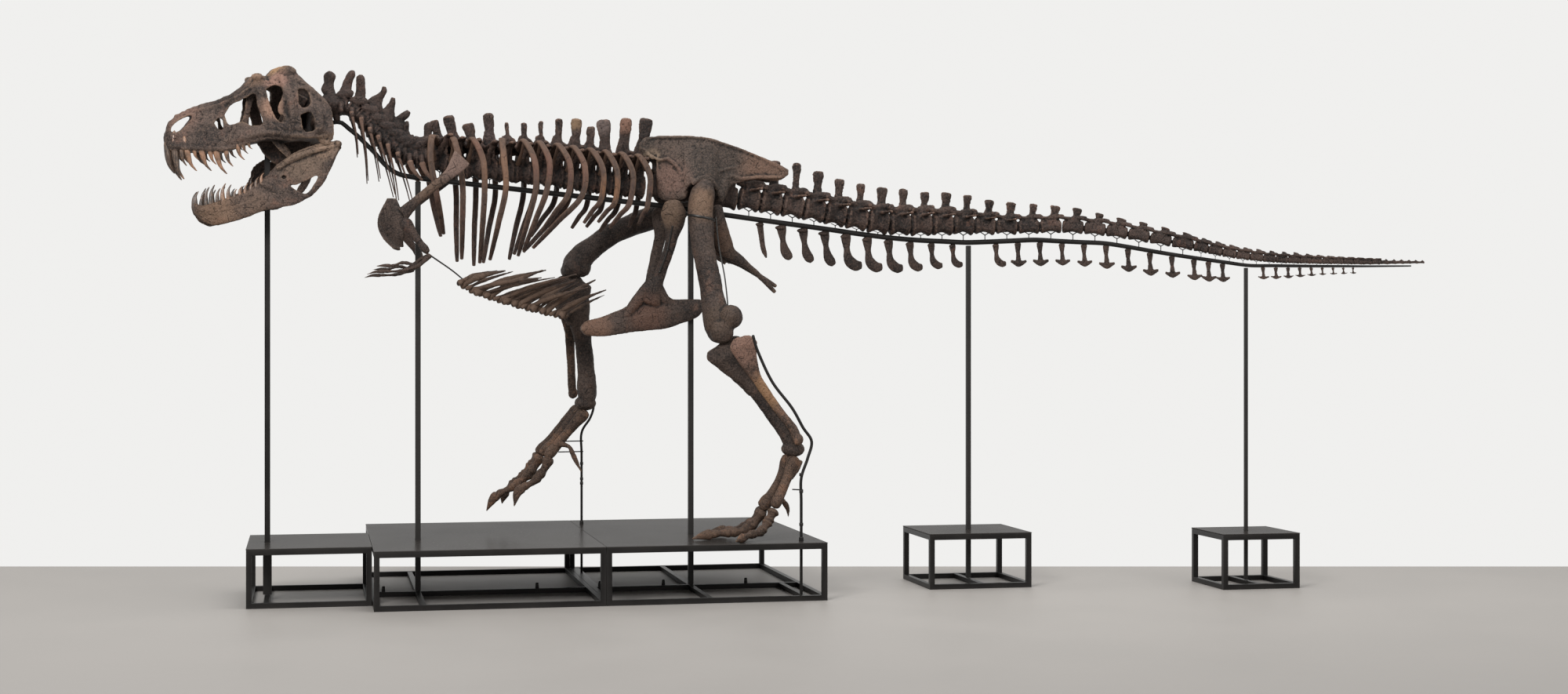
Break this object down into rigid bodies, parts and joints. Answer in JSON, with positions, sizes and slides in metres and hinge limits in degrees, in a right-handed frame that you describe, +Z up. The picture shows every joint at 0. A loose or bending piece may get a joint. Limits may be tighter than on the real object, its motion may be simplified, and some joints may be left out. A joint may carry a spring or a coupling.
{
  "type": "mounted tyrannosaur skeleton",
  "caption": "Life-size tyrannosaur skeleton in a striding pose with open jaws, tail swung to one side, held by slim steel poles and a bar under the spine on low framed plinths",
  "frame": {"origin": "on the floor, under the middle of the box round the whole mount", "axes": "+X runs from the snout towards the tip of the tail, +Z is up, and the animal's left side faces -Y"},
  "size_m": [10.775, 2.644, 4.425],
  "materials": {
    "bone": "matt, mottled dark brown fossil bone",
    "ilium_bone": "matt, greyer fossil bone",
    "steel": "satin black",
    "plate": "gloss dark grey"
  },
  "bodies": {
    "root": {"femur_left": "bone", "femur_right": "bone", "fibula_left": "bone", "fibula_right": "bone", "foot_left": "bone", "foot_right": "bone", "forearm_left": "bone", "forearm_right": "bone", "gastralia": "bone", "humerus_left": "bone", "humerus_right": "bone", "ilium_left": "ilium_bone", "ilium_right": "ilium_bone", "ischium_left": "bone", "ischium_right": "bone", "mandible_left": "bone", "mandible_right": "bone", "metatarsus_left": "bone", "metatarsus_right": "bone", "neck": "bone", "pubis_left": "bone", "pubis_right": "bone", "sacrum": "bone", "scapula_left": "bone", "scapula_right": "bone", "skull": "bone", "stand_back_bar": "steel", "stand_chest_pole": "steel", "stand_front_frame": "steel", "stand_front_plate": "plate", "stand_head_frame": "steel", "stand_head_plate": "plate", "stand_head_pole": "steel", "stand_hip_pole": "steel", "stand_left_leg_rod": "steel", "stand_neck_bar": "steel", "stand_rear_frame": "steel", "stand_rear_plate": "plate", "stand_right_leg_rod": "steel", "stand_tail_bar_1": "steel", "stand_tail_bar_2": "steel", "stand_tail_bar_3": "steel", "stand_tail_front_frame": "steel", "stand_tail_front_plate": "plate", "stand_tail_front_pole": "steel", "stand_tail_rear_frame": "steel", "stand_tail_rear_plate": "plate", "stand_tail_rear_pole": "steel", "tail_1": "bone", "tail_2": "bone", "tail_3": "bone", "tail_4": "bone", "tail_5": "bone", "tibia_left": "bone", "tibia_right": "bone", "trunk_left": "bone", "trunk_right": "bone"}
  },
  "joints": []
}
